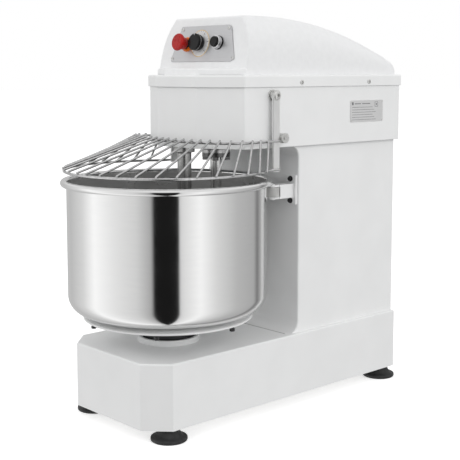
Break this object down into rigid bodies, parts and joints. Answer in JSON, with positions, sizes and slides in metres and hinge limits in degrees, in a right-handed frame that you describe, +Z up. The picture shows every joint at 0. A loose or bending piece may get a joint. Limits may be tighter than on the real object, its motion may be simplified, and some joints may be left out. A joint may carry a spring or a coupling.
{
  "type": "spiral dough mixer",
  "caption": "Floor-standing spiral dough mixer: turning bowl, driven spiral hook, fixed breaker bar, hinged wire guard and a control face on the head.",
  "frame": {"origin": "centre of the whole machine's footprint, on the floor", "axes": "+Z up, -Y towards the user at the bowl end, +X towards the side with the rating plate"},
  "size_m": [0.48, 0.867, 0.91],
  "materials": {
    "white_paint": "smooth powder coat",
    "white_plastic": "smooth moulded",
    "stainless": "polished with fine turning marks",
    "stainless_bar": "brushed",
    "chrome_wire": "bright",
    "chrome_trim": "bright",
    "black_rubber": "matt moulded",
    "belt_rubber": "matt",
    "zinc_steel": "zinc plated",
    "machined_steel": "machined",
    "bearing_steel": "ground",
    "black_steel": "blackened",
    "grey_primer": "primer",
    "grey_paint": "satin",
    "blue_paint": "satin enamel",
    "cast_grey": "as cast",
    "brushed_aluminium": "brushed",
    "black_plastic": "satin",
    "ivory_plastic": "satin",
    "grey_plastic": "satin",
    "grey_nylon": "turned nylon",
    "orange_plastic": "smooth",
    "red_plastic": "smooth"
  },
  "bodies": {
    "machine": {"base_housing": "white_paint", "floor_pan": "zinc_steel", "machine_feet": "black_rubber", "foot_bolts": "zinc_steel", "base_frame": "grey_primer", "bowl_collar": "white_paint", "column_shell": "white_paint", "column_front_sheet": "white_paint", "column_frame": "grey_primer", "rear_panel": "white_paint", "rear_panel_screws": "zinc_steel", "cable_gland": "black_plastic", "electrical_box": "grey_paint", "electrical_box_lid": "grey_paint", "contactors": "ivory_plastic", "head_skirt": "white_paint", "head_floor_plate": "grey_primer", "cover_rim": "white_paint", "top_cover": "white_plastic", "cover_screws": "zinc_steel", "control_plate": "brushed_aluminium", "control_plate_screws": "zinc_steel", "rating_plate": "brushed_aluminium", "rating_plate_rivets": "brushed_aluminium", "estop_collar": "orange_plastic", "control_blocks": "black_plastic", "start_bezel": "chrome_trim", "motor_body": "blue_paint", "motor_plate": "grey_primer", "shaft_housings": "cast_grey", "shaft_bearings": "bearing_steel", "spindle_housing": "cast_grey", "motor_belts": "belt_rubber", "spiral_belts": "belt_rubber", "base_belts": "belt_rubber", "bowl_housing": "cast_grey", "breaker_bar": "stainless", "roller_brackets": "white_paint", "bracket_screws": "black_steel", "guard_stops": "zinc_steel"},
    "bowl": {"bowl_shell": "stainless", "bowl_dish": "white_paint", "dish_studs": "black_steel", "bowl_spindle": "black_steel"},
    "spiral": {"spindle": "machined_steel", "spiral_hook": "stainless", "hook_bolts": "zinc_steel"},
    "countershaft_body": {"countershaft": "machined_steel"},
    "layshaft_body": {"layshaft": "machined_steel"},
    "rotor_body": {"motor_rotor": "machined_steel"},
    "left_guide": {"left_roller": "grey_nylon"},
    "right_guide": {"right_roller": "grey_nylon"},
    "guard": {"guard_arms": "stainless_bar", "guard_rings": "chrome_wire", "guard_spokes": "chrome_wire", "guard_pivots": "zinc_steel"},
    "estop_plunger": {"estop_stem": "grey_plastic"},
    "estop_mushroom": {"estop_head": "red_plastic"},
    "timer": {"timer_knob": "black_plastic"},
    "start": {"start_button": "black_plastic"}
  },
  "joints": [
    {"name": "bowl_turn", "type": "hinge", "parent": "machine", "child": "bowl", "pos_m": [0, -0.1935, 0.3], "axis": [0, 0, 1], "continuous": true},
    {"name": "spiral_turn", "type": "hinge", "parent": "machine", "child": "spiral", "pos_m": [0, -0.0459, 0.45], "axis": [0, 0, 1], "continuous": true},
    {"name": "countershaft_turn", "type": "hinge", "parent": "machine", "child": "countershaft_body", "pos_m": [0, 0.1435, 0.4], "axis": [0, 0, 1], "continuous": true},
    {"name": "layshaft_turn", "type": "hinge", "parent": "machine", "child": "layshaft_body", "pos_m": [0, -0.0135, 0.1], "axis": [0, 0, 1], "continuous": true},
    {"name": "motor_turn", "type": "hinge", "parent": "machine", "child": "rotor_body", "pos_m": [0, 0.3135, 0.62], "axis": [0, 0, 1], "continuous": true},
    {"name": "left_roller_turn", "type": "hinge", "parent": "machine", "child": "left_guide", "pos_m": [-0.13224, 0.01013, 0.51], "axis": [0, 0, 1], "continuous": true},
    {"name": "right_roller_turn", "type": "hinge", "parent": "machine", "child": "right_guide", "pos_m": [0.13224, 0.01013, 0.51], "axis": [0, 0, 1], "continuous": true},
    {"name": "guard_lift", "type": "hinge", "parent": "machine", "child": "guard", "pos_m": [0, -0.0271, 0.7327], "axis": [-1, 0, 0], "range_deg": [0, 85]},
    {"name": "estop_press", "type": "slide", "parent": "machine", "child": "estop_plunger", "axis": [0, 0.9819, -0.1895], "range_m": [0, 0.004]},
    {"name": "estop_twist", "type": "hinge", "parent": "estop_plunger", "child": "estop_mushroom", "pos_m": [-0.057, -0.08224, 0.848], "axis": [0, 0.9819, -0.1895], "range_deg": [0, 35], "stiffness_Nm_per_rad": 0.2},
    {"name": "timer_turn", "type": "hinge", "parent": "machine", "child": "timer", "pos_m": [-0.0125, -0.08185, 0.85], "axis": [0, 0.9819, -0.1895], "range_deg": [0, 300]},
    {"name": "start_press", "type": "slide", "parent": "machine", "child": "start", "axis": [0, 0.9819, -0.1895], "range_m": [0, 0.003], "stiffness_N_per_m": 900}
  ],
  "couplings": [
    {"joint": "spiral_turn", "follows": "bowl_turn", "ratio": 9.0667},
    {"joint": "countershaft_turn", "follows": "bowl_turn", "ratio": 9.6},
    {"joint": "layshaft_turn", "follows": "bowl_turn", "ratio": 3.2},
    {"joint": "motor_turn", "follows": "bowl_turn", "ratio": 40},
    {"joint": "left_roller_turn", "follows": "bowl_turn", "ratio": -14.156},
    {"joint": "right_roller_turn", "follows": "bowl_turn", "ratio": -14.156}
  ]
}
